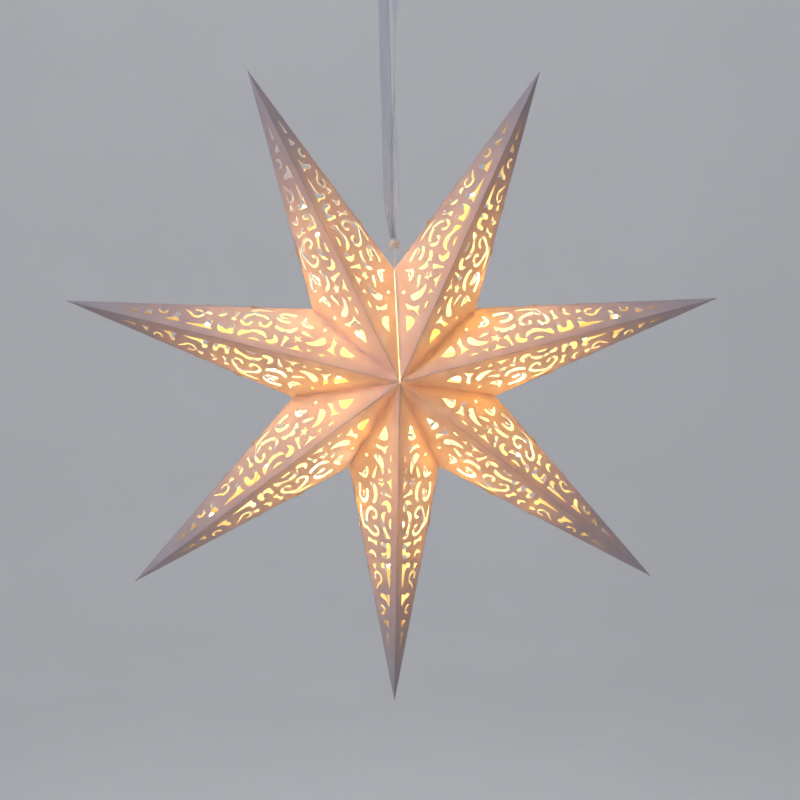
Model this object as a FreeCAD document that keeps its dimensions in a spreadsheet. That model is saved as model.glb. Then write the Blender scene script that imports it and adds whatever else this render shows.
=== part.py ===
import FreeCAD, Part
import math
import os

import Sketcher
from FreeCAD import Placement, Rotation, Vector

# Seven-pointed folded card star lantern on an organza hanging loop, in millimetres.
# The origin is the top of the hanging loop. +Z is up, and the star lies in the XZ plane with its front
# toward -Y. Each arm has four creased card faces, which meet at two ridges, two outer edges and the
# valleys between the arms. The arms fold together like a fan about the star's own Y axis.

ARMS = {
    "bottom": -90.0,
    "lower_right": -90.0 + 360.0 / 7,
    "right": -90.0 + 2 * 360.0 / 7,
    "upper_right": -90.0 + 3 * 360.0 / 7,
    "upper_left": -90.0 - 3 * 360.0 / 7,
    "left": -90.0 - 2 * 360.0 / 7,
    "lower_left": -90.0 - 360.0 / 7,
}
HALF_ARM_ANGLE = math.radians(180.0 / len(ARMS))
# how much of a cord's shorter run an arc takes, and how far a tie sags, as a share of its rise
CORNER_SHARE = 0.45
TIE_SAG_SHARE = 1 / 14

# The corners of each cut-out, as shares of its own length and width from its own place on the face.
TEARDROP = ((0, 1), (0.55, 0.27), (1, 0.77), (0.9, 1.55))
WAIST = ((-0.5, 0.1), (0.5, 0.1), (0.1, 0.5), (0.5, 1.1), (-0.1, 1.1), (-0.2, 0.5))
TRIANGLE = ((-0.5, 0), (0.5, 0), (0, 0.55))
STAR_POINTS = 5
STAR_INNER = 0.42
ARCH = ((-0.5, 0), (0.5, 0), (0.5, 1), (0, 0.4), (-0.5, 1))
HOOK = ((-0.5, 0), (0.5, 0), (0.3, 1), (-0.5, 1.6))
SLIVER = ((0, 0), (1, 0), (0, 1))
SCROLL_CORNERS = 5
SCROLL_FLATNESS = 0.8

DRIVING_SIZES = {
    # star
    "tip_radius": 304,
    "valley_radius": 95,
    "half_depth": 85,
    "card": 0.3,
    # bare crease strips between neighbouring faces
    "ridge_gap": 5.2,
    "spine_gap": 3.0,
    "valley_gap": 4.0,
    "hub_trim": 20,
    "corner_trim": 5,
    "crease_width": 4,
    "crease_start": 6,
    "crease_tip_gap": 2,
    # pressed arm tip
    "press_length": 20,
    "press_thickness": 1.2,
    # cut-outs of a face: place along and away from the ridge, drawn for a face of the pattern's own size
    "pattern_ridge": 311.8,
    "pattern_away": 71.5,
    "band_width": 4,
    "teardrop_along": 47,
    "teardrop_length": 15,
    "teardrop_width": 11,
    "waist_along": 69,
    "waist_span": 18,
    "waist_width": 9,
    "triangle_along": 99,
    "triangle_side": 14,
    "star_along": 102.7,
    "star_away": 25,
    "star_radius": 5.3,
    "arch_along": 165,
    "arch_length": 13,
    "arch_width": 9,
    "hook_along": 194,
    "hook_length": 22,
    "hook_width": 5,
    "sliver_along": 248,
    "sliver_length": 13,
    "sliver_width": 4,
    "scroll_along": 141,
    "scroll_away": 39,
    "scroll_size": 9,
    # battery light at the middle of the star
    "case_wall": 1.6,
    "cover_thickness": 1.4,
    "cell_radius": 10,
    "cell_height": 3.2,
    "cell_count": 3,
    "cell_clearance": 0.4,
    "cell_front_gap": 1,
    "contact_spring_gap": 2.2,
    "contact_thickness": 0.3,
    "contact_width": 6,
    "contact_height": 12,
    "switch_length": 5,
    "switch_height": 2.6,
    "switch_width": 3,
    "switch_travel": 4,
    "fit_clearance": 0.15,
    # fairy lights
    "wire_radius": 0.4,
    "led_radius": 1.5,
    "led_count": 6,
    "wire_start_gap": 6,
    "wire_end_gap": 70,
    "wire_tail": 8,
    # hanger
    "hang_height": 360,
    "bead_rise": 24,
    "bead_radius": 4.7,
    "bead_half_height": 3.6,
    "bead_bore_radius": 1.6,
    "cord_radius": 0.6,
    "tie_start": 1.32,
    "tie_reach": 11.5,
    "tie_rise": 16.5,
    "tie_forward": 2,
    "ribbon_width": 10,
    "ribbon_thickness": 0.3,
    "ribbon_loop_radius": 5,
    "ribbon_turn": 40,
    "strand_gap": 1.0,
    "knot_gap": 0.5,
}

DERIVED_SIZES = {
    # a face is the triangle hub, arm tip, valley point: its ridge length, and where the valley point lies
    "ridge_length": "sqrt(Sizes.tip_radius^2 + Sizes.half_depth^2)",
    "valley_along": "(Sizes.tip_radius * Sizes.valley_radius * cos(180 deg / 7) + Sizes.half_depth^2)"
    " / ridge_length",
    "valley_length": "sqrt(Sizes.valley_radius^2 + Sizes.half_depth^2)",
    "valley_away": "sqrt(valley_length^2 - valley_along^2)",
    "spine_along": "ridge_length - valley_along",
    "spine_length": "sqrt(spine_along^2 + valley_away^2)",
    # how far the trimmed outer corner stands from the ridge, and the two gaps measured along the ridge
    "corner_away": "valley_away - Sizes.corner_trim",
    "spine_shift": "Sizes.spine_gap * spine_length / valley_away",
    "valley_shift": "Sizes.valley_gap * valley_length / valley_away",
    "press_half_width": "Sizes.press_length * Sizes.valley_radius * sin(180 deg / 7)"
    " / (Sizes.tip_radius - Sizes.valley_radius * cos(180 deg / 7))",
    # how much longer and wider a face is than the one the cut-outs are drawn for
    "along_scale": "ridge_length / Sizes.pattern_ridge",
    "away_scale": "valley_away / Sizes.pattern_away",
    # the tray fits round its cells
    "case_inside": "2 * Sizes.cell_radius + 2 * Sizes.cell_clearance",
    "case_side": "case_inside + 2 * Sizes.case_wall",
    "cells_depth": "Sizes.cell_count * Sizes.cell_height + (Sizes.cell_count - 1) * Sizes.fit_clearance",
    "case_depth": "Sizes.cell_front_gap + cells_depth + Sizes.contact_spring_gap"
    " + Sizes.contact_thickness + Sizes.case_wall",
    # the light string runs from beside the tray toward the arm's tip
    "wire_start": "case_side / 2 + Sizes.wire_start_gap",
    "wire_length": "Sizes.tip_radius - wire_start - Sizes.wire_end_gap",
    "led_pitch": "(wire_length - Sizes.wire_tail) / Sizes.led_count",
    "bead_height": "Sizes.valley_radius + Sizes.bead_rise",
}

doc = FreeCAD.newDocument("paper_star_lantern")


def fill_sheets():
    """Sizes holds the driving dimensions as plain numbers, and Derived holds what follows from them."""
    sizes = doc.addObject("Spreadsheet::Sheet", "Sizes")
    for row, (alias, value) in enumerate(DRIVING_SIZES.items(), start=1):
        sizes.set(f"A{row}", alias)
        sizes.set(f"B{row}", str(value))
        sizes.setAlias(f"B{row}", alias)
    doc.recompute()
    derived = doc.addObject("Spreadsheet::Sheet", "Derived")
    for row, (alias, formula) in enumerate(DERIVED_SIZES.items(), start=1):
        derived.set(f"A{row}", alias)
        derived.set(f"B{row}", "=" + formula)
        derived.setAlias(f"B{row}", alias)
        doc.recompute()
    return sizes, derived


SIZES, DERIVED = fill_sheets()


def size(alias):
    sheet = SIZES if alias in DRIVING_SIZES else DERIVED
    return float(getattr(sheet, alias))


STAR_CENTRE = Vector(0, 0, -size("hang_height"))


# ---------------------------------------------------------------------------------------- helpers


def new_body(name):
    body = doc.addObject("PartDesign::Body", name)
    body.Label = name
    return body


def new_sketch(body, role, name):
    plane = [item for item in body.Origin.OriginFeatures if item.Role == role][0]
    sketch = body.newObject("Sketcher::SketchObject", name)
    sketch.AttachmentSupport = (plane, "")
    sketch.MapMode = "FlatFace"
    return sketch


def add_polygon(sketch, corners):
    """A closed outline whose every corner is placed by a pair of (x, y) expressions."""
    values = [tuple(evaluate(sketch, axis) for axis in corner) for corner in corners]
    first = sketch.GeometryCount
    for index, (x, y) in enumerate(values):
        x_next, y_next = values[(index + 1) % len(values)]
        sketch.addGeometry(Part.LineSegment(Vector(x, y, 0), Vector(x_next, y_next, 0)), False)
    for index, corner in enumerate(corners):
        line = first + index
        following = first + (index + 1) % len(corners)
        sketch.addConstraint(Sketcher.Constraint("Coincident", line, 2, following, 1))
        for kind, expression, value in zip(("DistanceX", "DistanceY"), corner, values[index]):
            number = sketch.addConstraint(Sketcher.Constraint(kind, -1, 1, line, 1, value))
            sketch.setExpression(f"Constraints[{number}]", expression)


def evaluate(owner, expression):
    return float(owner.evalExpression(expression))


def pad(body, sketch, length, midplane=True):
    feature = body.newObject("PartDesign::Pad", body.Name + "_pad")
    feature.Profile = sketch
    feature.SideType = "Symmetric" if midplane else "One side"
    feature.setExpression("Length", length)
    return feature


def primitive(kind, name, sizes, placement=None):
    """A Part primitive with its sizes bound to the sheets."""
    item = doc.addObject("Part::" + kind, name)
    item.Label = name
    for prop, expression in sizes.items():
        item.setExpression(prop, expression)
    if placement is not None:
        item.Placement = placement
    return item


def joined(kind, name, items):
    """A boolean or a compound of several objects, with the node's own label."""
    result = doc.addObject("Part::" + kind, name)
    result.Label = name
    if kind == "Compound":
        result.Links = items
    elif kind == "Cut":
        result.Base, result.Tool = items
    else:
        result.Shapes = items
    return result


def arm_axes(angle):
    """The directions along an arm and across it, in the star's plane."""
    turn = math.radians(angle)
    return Vector(math.cos(turn), 0, math.sin(turn)), Vector(-math.sin(turn), 0, math.cos(turn))


def frame(origin, x_axis, y_axis):
    z_axis = x_axis.cross(y_axis)
    return Placement(origin, Rotation(x_axis, y_axis, z_axis, "XYZ"))


# ---------------------------------------------------------------------------------- card star arms


def face_placement(angle, depth_side, cross_side):
    """Places a face with its origin at the hub, its x along the ridge and its y toward the valley point."""
    along, across = arm_axes(angle)
    hub = STAR_CENTRE + Vector(0, depth_side * size("half_depth"), 0)
    tip = STAR_CENTRE + along * size("tip_radius")
    valley = STAR_CENTRE + (
        along * math.cos(HALF_ARM_ANGLE) + across * cross_side * math.sin(HALF_ARM_ANGLE)
    ) * size("valley_radius")
    ridge = (tip - hub).normalize()
    away = valley - hub
    away = (away - ridge * away.dot(ridge)).normalize()
    return frame(hub, ridge, away)


def face_outline():
    """The hub end, the two long sides and the trimmed outer corner of a face."""
    away_per_along = "Derived.valley_away / Derived.valley_along"
    return [
        ("Sizes.hub_trim", "Sizes.ridge_gap"),
        (
            "Derived.ridge_length - Sizes.ridge_gap * Derived.spine_along / Derived.valley_away"
            " - Derived.spine_shift",
            "Sizes.ridge_gap",
        ),
        (
            "Derived.ridge_length - Derived.corner_away * Derived.spine_along / Derived.valley_away"
            " - Derived.spine_shift",
            "Derived.corner_away",
        ),
        (
            "Derived.corner_away * Derived.valley_along / Derived.valley_away + Derived.valley_shift",
            "Derived.corner_away",
        ),
        ("Sizes.hub_trim", f"(Sizes.hub_trim - Derived.valley_shift) * {away_per_along}"),
    ]


def motif(along, away, length, width, corners):
    """A cut-out's corners as expressions, stretched with the face."""
    return [
        (
            f"({along} + {length} * {share_along:.4f}) * Derived.along_scale",
            f"({away} + {width} * {share_away:.4f}) * Derived.away_scale",
        )
        for share_along, share_away in corners
    ]


def face_cutouts():
    """The larger openings of the filigree, as straight-edged outlines."""
    band = "Sizes.ridge_gap + Sizes.band_width"
    star = []
    for point in range(2 * STAR_POINTS):
        reach = 1 if point % 2 == 0 else STAR_INNER
        turn = math.pi * point / STAR_POINTS
        star.append((reach * math.sin(turn), -reach * math.cos(turn)))
    scroll = []
    for corner in range(SCROLL_CORNERS):
        turn = 2 * math.pi * corner / SCROLL_CORNERS
        scroll.append((math.cos(turn), math.sin(turn) * SCROLL_FLATNESS))
    return [
        motif("Sizes.teardrop_along", band, "Sizes.teardrop_length", "Sizes.teardrop_width", TEARDROP),
        motif("Sizes.waist_along", band, "Sizes.waist_width", "Sizes.waist_span", WAIST),
        motif("Sizes.triangle_along", band, "Sizes.triangle_side", "Sizes.triangle_side", TRIANGLE),
        motif("Sizes.star_along", "Sizes.star_away", "Sizes.star_radius", "Sizes.star_radius", star),
        motif("Sizes.arch_along", band, "Sizes.arch_length", "Sizes.arch_width", ARCH),
        motif("Sizes.hook_along", band, "Sizes.hook_length", "Sizes.hook_width", HOOK),
        motif(
            "Sizes.sliver_along",
            "Sizes.ridge_gap + Sizes.band_width / 2",
            "Sizes.sliver_length",
            "Sizes.sliver_width",
            SLIVER,
        ),
        motif("Sizes.scroll_along", "Sizes.scroll_away", "Sizes.scroll_size", "Sizes.scroll_size", scroll),
    ]


def make_face(name, placement):
    body = new_body(name)
    sketch = new_sketch(body, "XY_Plane", name + "_outline")
    add_polygon(sketch, face_outline())
    for cutout in face_cutouts():
        add_polygon(sketch, cutout)
    pad(body, sketch, "Sizes.card")
    body.Placement = placement
    return body


def make_pressed_tip(name, angle):
    """The four layers of an arm pressed flat into one sharp point."""
    along, across = arm_axes(angle)
    body = new_body(name)
    sketch = new_sketch(body, "XY_Plane", name + "_outline")
    add_polygon(
        sketch,
        [
            ("0", "0"),
            ("-Sizes.press_length", "Derived.press_half_width"),
            ("-Sizes.press_length", "-Derived.press_half_width"),
        ],
    )
    pad(body, sketch, "Sizes.press_thickness")
    body.Placement = frame(STAR_CENTRE + along * size("tip_radius"), along, across)
    return body


def make_creases(name, angle):
    """The front and back ridge creases of an arm, as flat strips along the fold lines."""
    along, across = arm_axes(angle)
    strips = []
    for side_name, side in (("front", -1), ("back", 1)):
        hub = STAR_CENTRE + Vector(0, side * size("half_depth"), 0)
        ridge = (STAR_CENTRE + along * size("tip_radius") - hub).normalize()
        start = hub + ridge * size("crease_start") - across * size("crease_width") / 2
        strips.append(
            primitive(
                "Box",
                f"{name}_{side_name}",
                {
                    "Length": "Derived.ridge_length - Sizes.crease_start - Sizes.press_length"
                    " - Sizes.crease_tip_gap",
                    "Width": "Sizes.crease_width",
                    "Height": "Sizes.card",
                },
                frame(start, ridge, across),
            )
        )
    return joined("Compound", name, strips)


def make_light_string(name, angle):
    """One arm's run of fairy-light wire with its lamps, along the middle of the arm."""
    along, _ = arm_axes(angle)
    wire = primitive(
        "Cylinder",
        name + "_wire",
        {"Radius": "Sizes.wire_radius", "Height": "Derived.wire_length"},
        Placement(STAR_CENTRE + along * size("wire_start"), Rotation(Vector(0, 0, 1), along)),
    )
    parts = [wire]
    for number in range(int(size("led_count"))):
        place = size("wire_start") + size("led_pitch") * (number + 1)
        lamp = primitive(
            "Sphere",
            f"{name}_lamp_{number + 1}",
            {"Radius": "Sizes.led_radius"},
            Placement(STAR_CENTRE + along * place, Rotation()),
        )
        parts.append(lamp)
    return joined("MultiFuse", name, parts)


# ------------------------------------------------------------------------------- battery light pack


def square(half):
    """The corners of a square round the origin."""
    return [(f"-{half}", f"-{half}"), (half, f"-{half}"), (half, half), (f"-{half}", half)]


def make_battery_case():
    """An open tray with a side slot for the switch. Its mouth faces the front."""
    body = new_body("battery_case")
    half = "Derived.case_side / 2"
    outline = new_sketch(body, "XZ_Plane", "case_outline")
    add_polygon(outline, square(half))
    pad(body, outline, "Derived.case_depth")
    doc.recompute()
    solid_volume = body.Shape.Volume

    room = "Derived.case_inside / 2"
    inside = new_sketch(body, "XZ_Plane", "case_inside_outline")
    inside.setExpression("AttachmentOffset.Base.z", "Derived.case_depth / 2")
    add_polygon(inside, square(room))
    pocket = body.newObject("PartDesign::Pocket", "case_pocket")
    pocket.Profile = inside
    pocket.setExpression("Length", "Derived.case_depth - Sizes.case_wall")
    doc.recompute()
    hollow_volume = size("case_inside") ** 2 * (size("case_depth") - size("case_wall"))
    assert abs(solid_volume - body.Shape.Volume - hollow_volume) < 1, "the tray isn't hollowed to its floor"

    slot = new_sketch(body, "YZ_Plane", "switch_slot_outline")
    depth = "(Sizes.switch_height / 2 + Sizes.fit_clearance)"
    rise = "((Sizes.switch_length + Sizes.switch_travel) / 2 + Sizes.fit_clearance)"
    add_polygon(slot, [(f"-{depth}", f"-{rise}"), (depth, f"-{rise}"), (depth, rise), (f"-{depth}", rise)])
    slot.setExpression("AttachmentOffset.Base.z", "Derived.case_side / 2")
    opening = body.newObject("PartDesign::Pocket", "switch_slot")
    opening.Profile = slot
    opening.setExpression("Length", "Sizes.case_wall")
    body.Placement = Placement(STAR_CENTRE, Rotation())
    return body


def make_battery_cover():
    """The sliding front of the battery tray."""
    half = size("case_side") / 2
    front = -size("case_depth") / 2 - size("fit_clearance") - size("cover_thickness")
    return primitive(
        "Box",
        "battery_cover",
        {"Length": "Derived.case_side", "Width": "Sizes.cover_thickness", "Height": "Derived.case_side"},
        Placement(STAR_CENTRE + Vector(-half, front, -half), Rotation()),
    )


def make_coin_cells():
    cells = []
    for number in range(int(size("cell_count"))):
        step = number * (size("cell_height") + size("fit_clearance"))
        depth = -size("case_depth") / 2 + size("cell_front_gap") + step
        cells.append(
            primitive(
                "Cylinder",
                f"coin_cell_{number + 1}",
                {"Radius": "Sizes.cell_radius", "Height": "Sizes.cell_height"},
                Placement(STAR_CENTRE + Vector(0, depth, 0), Rotation(Vector(1, 0, 0), -90)),
            )
        )
    return joined("Compound", "coin_cells", cells)


def make_battery_contact():
    """The sprung metal tab on the tray's floor, behind the cells."""
    corner = Vector(-size("contact_width") / 2, 0, -size("contact_height") / 2)
    floor = size("case_depth") / 2 - size("case_wall") - size("contact_thickness")
    return primitive(
        "Box",
        "battery_contact",
        {
            "Length": "Sizes.contact_width",
            "Width": "Sizes.contact_thickness",
            "Height": "Sizes.contact_height",
        },
        Placement(STAR_CENTRE + corner + Vector(0, floor, 0), Rotation()),
    )


def make_switch():
    """The slide switch's button, at the low end of its slot."""
    side = size("case_side") / 2 - size("case_wall") + size("fit_clearance")
    depth = -size("switch_height") / 2
    low = -(size("switch_length") + size("switch_travel")) / 2
    return primitive(
        "Box",
        "switch_slider",
        {"Length": "Sizes.switch_width", "Width": "Sizes.switch_height", "Height": "Sizes.switch_length"},
        Placement(STAR_CENTRE + Vector(side, depth, low), Rotation()),
    )


# ------------------------------------------------------------------------------------------ hanger


def make_bead():
    """A slightly flattened bead with an upright bore for the cords and the ribbon."""
    centre = STAR_CENTRE + Vector(0, 0, size("bead_height"))
    ball = primitive(
        "Ellipsoid",
        "bead_ball",
        {"Radius1": "Sizes.bead_half_height", "Radius2": "Sizes.bead_radius", "Radius3": "Sizes.bead_radius"},
        Placement(centre, Rotation()),
    )
    bore = primitive(
        "Cylinder",
        "bead_bore",
        {"Radius": "Sizes.bead_bore_radius", "Height": "Sizes.bead_half_height * 4"},
        Placement(centre - Vector(0, 0, 2 * size("bead_half_height")), Rotation()),
    )
    return joined("Cut", "bead", [ball, bore])


def make_centre_cord():
    """The cord that carries the light pack, tight between the bead and the tray."""
    foot = size("case_side") / 2
    cord = primitive(
        "Cylinder",
        "centre_cord",
        {"Radius": "Sizes.cord_radius"},
        Placement(STAR_CENTRE + Vector(0, 0, foot), Rotation()),
    )
    cord.setExpression(
        "Height",
        "Derived.bead_height - Sizes.bead_half_height - Sizes.knot_gap - Derived.case_side / 2",
    )
    return cord


def cord_path(points):
    """Straight runs joined by tangent arcs, each as large as its two runs allow."""
    edges = []
    start = points[0]
    for before, corner, after in zip(points, points[1:], points[2:]):
        back, ahead = before - corner, after - corner
        turn = math.pi - back.getAngle(ahead)
        radius = CORNER_SHARE * min(back.Length, ahead.Length) / math.tan(turn / 2)
        reach = radius * math.tan(turn / 2)
        first = corner + back.normalize() * reach
        last = corner + ahead.normalize() * reach
        centre_way = (back + ahead).normalize()
        middle = corner + centre_way * (radius / math.cos(turn / 2) - radius)
        edges.append(Part.LineSegment(start, first).toShape())
        edges.append(Part.Arc(first, middle, last).toShape())
        print(f"  cord arc radius {radius:.1f}")
        start = last
    edges.append(Part.LineSegment(start, points[-1]).toShape())
    return Part.Wire(edges)


def make_tie_cord(name, side):
    """A tie from under the bead to the edge of one upper arm, kept as a swept tube."""
    knot = size("bead_height") - size("bead_half_height") - size("knot_gap")
    begin = Vector(side * size("tie_start"), 0, knot)
    end = Vector(side * size("tie_reach"), -size("tie_forward"), size("valley_radius") + size("tie_rise"))
    sag = Vector(0, -size("tie_forward") / 2, -size("tie_rise") * TIE_SAG_SHARE)
    middle = (begin + end) / 2 + sag
    path = cord_path([begin, middle, end])
    section = Part.Wire(Part.makeCircle(size("cord_radius"), begin, middle - begin))
    cord = doc.addObject("Part::Feature", name)
    cord.Label = name
    cord.Shape = path.makePipeShell([section], True, False)
    expected = math.pi * size("cord_radius") ** 2 * path.Length
    print(f"  {name}: volume {cord.Shape.Volume:.2f}, section times length {expected:.2f}")
    cord.Placement = Placement(STAR_CENTRE, Rotation())
    return cord


def make_ribbon():
    """A long narrow loop of ribbon: two straight strands and a round top, turned about its own axis."""
    foot = -(size("hang_height") - size("bead_height") - size("bead_half_height") - size("knot_gap"))
    radius = size("ribbon_loop_radius")
    centre = Vector(0, 0, -radius - size("ribbon_thickness") / 2)
    strand_foot = size("strand_gap")
    drop = math.hypot(strand_foot, foot - centre.z)
    lean = math.asin(radius / drop) - math.atan2(strand_foot, centre.z - foot)
    touch = Vector(radius * math.cos(lean), 0, radius * math.sin(lean))
    left = centre + Vector(-touch.x, 0, -touch.z)
    right = centre + Vector(touch.x, 0, -touch.z)
    path = Part.Wire(
        [
            Part.LineSegment(Vector(-strand_foot, 0, foot), left).toShape(),
            Part.Arc(left, centre + Vector(0, 0, radius), right).toShape(),
            Part.LineSegment(right, Vector(strand_foot, 0, foot)).toShape(),
        ]
    )
    upward = (left - Vector(-strand_foot, 0, foot)).normalize()
    sideways = upward.cross(Vector(0, 1, 0)) * (size("ribbon_thickness") / 2)
    across = Vector(0, size("ribbon_width") / 2, 0)
    start = Vector(-strand_foot, 0, foot)
    corners = [start + sideways + across, start + sideways - across]
    corners += [start - sideways - across, start - sideways + across]
    section = Part.makePolygon(corners + corners[:1])
    ribbon = doc.addObject("Part::Feature", "ribbon_loop")
    ribbon.Label = "ribbon_loop"
    ribbon.Shape = path.makePipeShell([section], True, False)
    expected = size("ribbon_width") * size("ribbon_thickness") * path.Length
    print(f"  ribbon_loop: volume {ribbon.Shape.Volume:.1f}, section times length {expected:.1f}")
    ribbon.Placement = Placement(Vector(0, 0, 0), Rotation(Vector(0, 0, 1), size("ribbon_turn")))
    return ribbon


# ---------------------------------------------------------------------------------------- assembly


def build():
    nodes = []
    for arm, angle in ARMS.items():
        for depth_name, depth_side in (("front", -1), ("back", 1)):
            for cross_name, cross_side in (("clockwise", -1), ("counterclockwise", 1)):
                name = f"face_{arm}_{depth_name}_{cross_name}"
                nodes.append(make_face(name, face_placement(angle, depth_side, cross_side)))
        nodes.append(make_pressed_tip(f"tip_{arm}", angle))
        nodes.append(make_creases(f"creases_{arm}", angle))
        nodes.append(make_light_string(f"light_string_{arm}", angle))
    nodes.append(make_battery_case())
    nodes.append(make_battery_cover())
    nodes.append(make_coin_cells())
    nodes.append(make_battery_contact())
    nodes.append(make_switch())
    nodes.append(make_bead())
    nodes.append(make_centre_cord())
    nodes.append(make_tie_cord("tie_cord_left", -1))
    nodes.append(make_tie_cord("tie_cord_right", 1))
    nodes.append(make_ribbon())
    return nodes


def check_and_export(nodes):
    doc.recompute()
    for item in doc.Objects:
        assert not {"Invalid", "Error"} & set(item.State), f"{item.Label}: {item.State}"
    for node in nodes:
        shape = node.Shape
        assert not shape.isNull() and shape.isValid() and shape.Volume > 0, f"{node.Label} has no valid solid"
    os.makedirs("parts", exist_ok=True)
    for node in nodes:
        node.Shape.exportStep(f"parts/{node.Label}.step")
    print(f"{len(nodes)} parts written")


check_and_export(build())
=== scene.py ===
import math

import bpy
from mathutils import Matrix, Vector
from mathutils.geometry import delaunay_2d_cdt


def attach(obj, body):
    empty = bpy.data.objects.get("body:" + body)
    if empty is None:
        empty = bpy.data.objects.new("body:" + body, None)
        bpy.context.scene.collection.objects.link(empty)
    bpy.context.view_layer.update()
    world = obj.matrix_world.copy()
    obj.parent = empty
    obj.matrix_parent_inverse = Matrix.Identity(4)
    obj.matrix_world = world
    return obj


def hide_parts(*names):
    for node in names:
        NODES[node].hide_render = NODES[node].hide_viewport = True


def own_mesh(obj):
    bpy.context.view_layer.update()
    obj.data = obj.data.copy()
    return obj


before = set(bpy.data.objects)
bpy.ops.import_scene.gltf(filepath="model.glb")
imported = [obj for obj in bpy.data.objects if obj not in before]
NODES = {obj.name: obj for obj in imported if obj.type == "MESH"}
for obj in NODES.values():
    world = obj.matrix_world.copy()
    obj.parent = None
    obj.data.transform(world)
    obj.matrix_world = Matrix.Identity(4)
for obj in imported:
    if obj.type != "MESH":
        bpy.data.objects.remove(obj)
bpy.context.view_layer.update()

MM = 0.001
STAR = Vector((0, 0, -0.360))
TIP_RADIUS = 0.304
VALLEY_RADIUS = 0.095
HALF_DEPTH = 0.085
HALF_STEP = math.pi / 7
CARD = 0.3 * MM
ARMS = {
    "bottom": -90.0,
    "lower_right": -90.0 + 360.0 / 7,
    "right": -90.0 + 2 * 360.0 / 7,
    "upper_right": -90.0 + 3 * 360.0 / 7,
    "upper_left": -90.0 - 3 * 360.0 / 7,
    "left": -90.0 - 2 * 360.0 / 7,
    "lower_left": -90.0 - 360.0 / 7,
}
DEPTHS = {"front": -1, "back": 1}
CROSSES = {"clockwise": -1, "counterclockwise": 1}


# ------------------------------------------------------------------------------------------ shapes


def link(obj):
    bpy.context.scene.collection.objects.link(obj)
    return obj


def new_mesh(name, points, faces, materials, slots=None):
    """Mesh data from plain lists. slots gives each face's material."""
    mesh = bpy.data.meshes.new(name)
    mesh.from_pydata([tuple(p) for p in points], [], faces)
    for surface in materials:
        mesh.materials.append(surface)
    if slots:
        mesh.polygons.foreach_set("material_index", slots)
    return mesh


def mesh_object(name, points, faces, materials, smooth=False, slots=None, attributes=None):
    """An object made from plain lists. attributes gives each point a vector under each of its names."""
    mesh = new_mesh(name, points, faces, materials, slots)
    if smooth:
        mesh.polygons.foreach_set("use_smooth", [True] * len(faces))
    for key, vectors in (attributes or {}).items():
        layer = mesh.attributes.new(key, "FLOAT_VECTOR", "POINT")
        layer.data.foreach_set("vector", [c for v in vectors for c in v])
    mesh.update()
    return link(bpy.data.objects.new(name, mesh))


def joined_rings(first, count, sides, flip=False):
    """Faces that join count rings of points, from point number first on, and cap both ends."""
    faces = []
    for i in range(count - 1):
        for c in range(sides):
            a, b = first + i * sides + c, first + i * sides + (c + 1) % sides
            faces.append((a, a + sides, b + sides, b) if flip else (a, b, b + sides, a + sides))
    start = tuple(range(first, first + sides))
    end = tuple(range(first + (count - 1) * sides, first + count * sides))
    return faces + ([start, end[::-1]] if flip else [start[::-1], end])


def curve_points(points, closed, steps):
    """A Catmull-Rom line through (x, y, ...) points. A closed line's corner has a third value of 1."""
    count = len(points)
    made = []
    for i in range(count if closed else count - 1):
        p1, p2 = points[i], points[(i + 1) % count]
        if closed:  # corners break the line
            sharp1, sharp2 = len(p1) > 2, len(p2) > 2
            p0 = p1 if sharp1 else points[i - 1]
            p3 = p2 if sharp2 else points[(i + 2) % count]
            if sharp1 and sharp2:
                made.append(p1[:2])
                continue
            size = 2
        else:
            p0 = points[max(i - 1, 0)]
            p3 = points[min(i + 2, count - 1)]
            size = len(p1)
        for step in range(steps):
            t = step / steps
            made.append(
                tuple(
                    0.5
                    * (
                        2 * p1[k]
                        + (p2[k] - p0[k]) * t
                        + (2 * p0[k] - 5 * p1[k] + 4 * p2[k] - p3[k]) * t * t
                        + (3 * p1[k] - p0[k] - 3 * p2[k] + p3[k]) * t**3
                    )
                    for k in range(size)
                )
            )
    if not closed:
        made.append(tuple(points[-1]))
    return made


def blob(*points):
    """A closed outline through a few points."""
    return curve_points(points, True, 4)


def stroke(*points):
    """The outline of a curved line with round ends. Its points are (x, y, half width)."""
    line = curve_points(points, False, 4)
    left, right = [], []
    for i, (x, y, half) in enumerate(line):
        x0, y0, _ = line[max(i - 1, 0)]
        x1, y1, _ = line[min(i + 1, len(line) - 1)]
        along = Vector((x1 - x0, y1 - y0)).normalized()
        left.append((x - along.y * half, y + along.x * half))
        right.append((x + along.y * half, y - along.x * half))
    ends = []
    for (x, y, half), (xn, yn, _) in ((line[-1], line[-2]), (line[0], line[1])):
        along = Vector((x - xn, y - yn)).normalized()
        turn = math.atan2(along.y, along.x)
        ends.append(
            [
                (x + half * math.cos(turn + a), y + half * math.sin(turn + a))
                for a in (math.radians(50), 0, math.radians(-50))
            ]
        )
    return left + ends[0] + right[::-1] + ends[1]


def five_point_star(x, y, radius):
    """A star outline with one point toward the ridge."""
    corners = []
    for i in range(10):
        reach = radius if i % 2 == 0 else radius * 0.42
        turn = math.radians(36 * i)
        corners.append((x + reach * math.sin(turn), y - reach * math.cos(turn)))
    return corners


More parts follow.
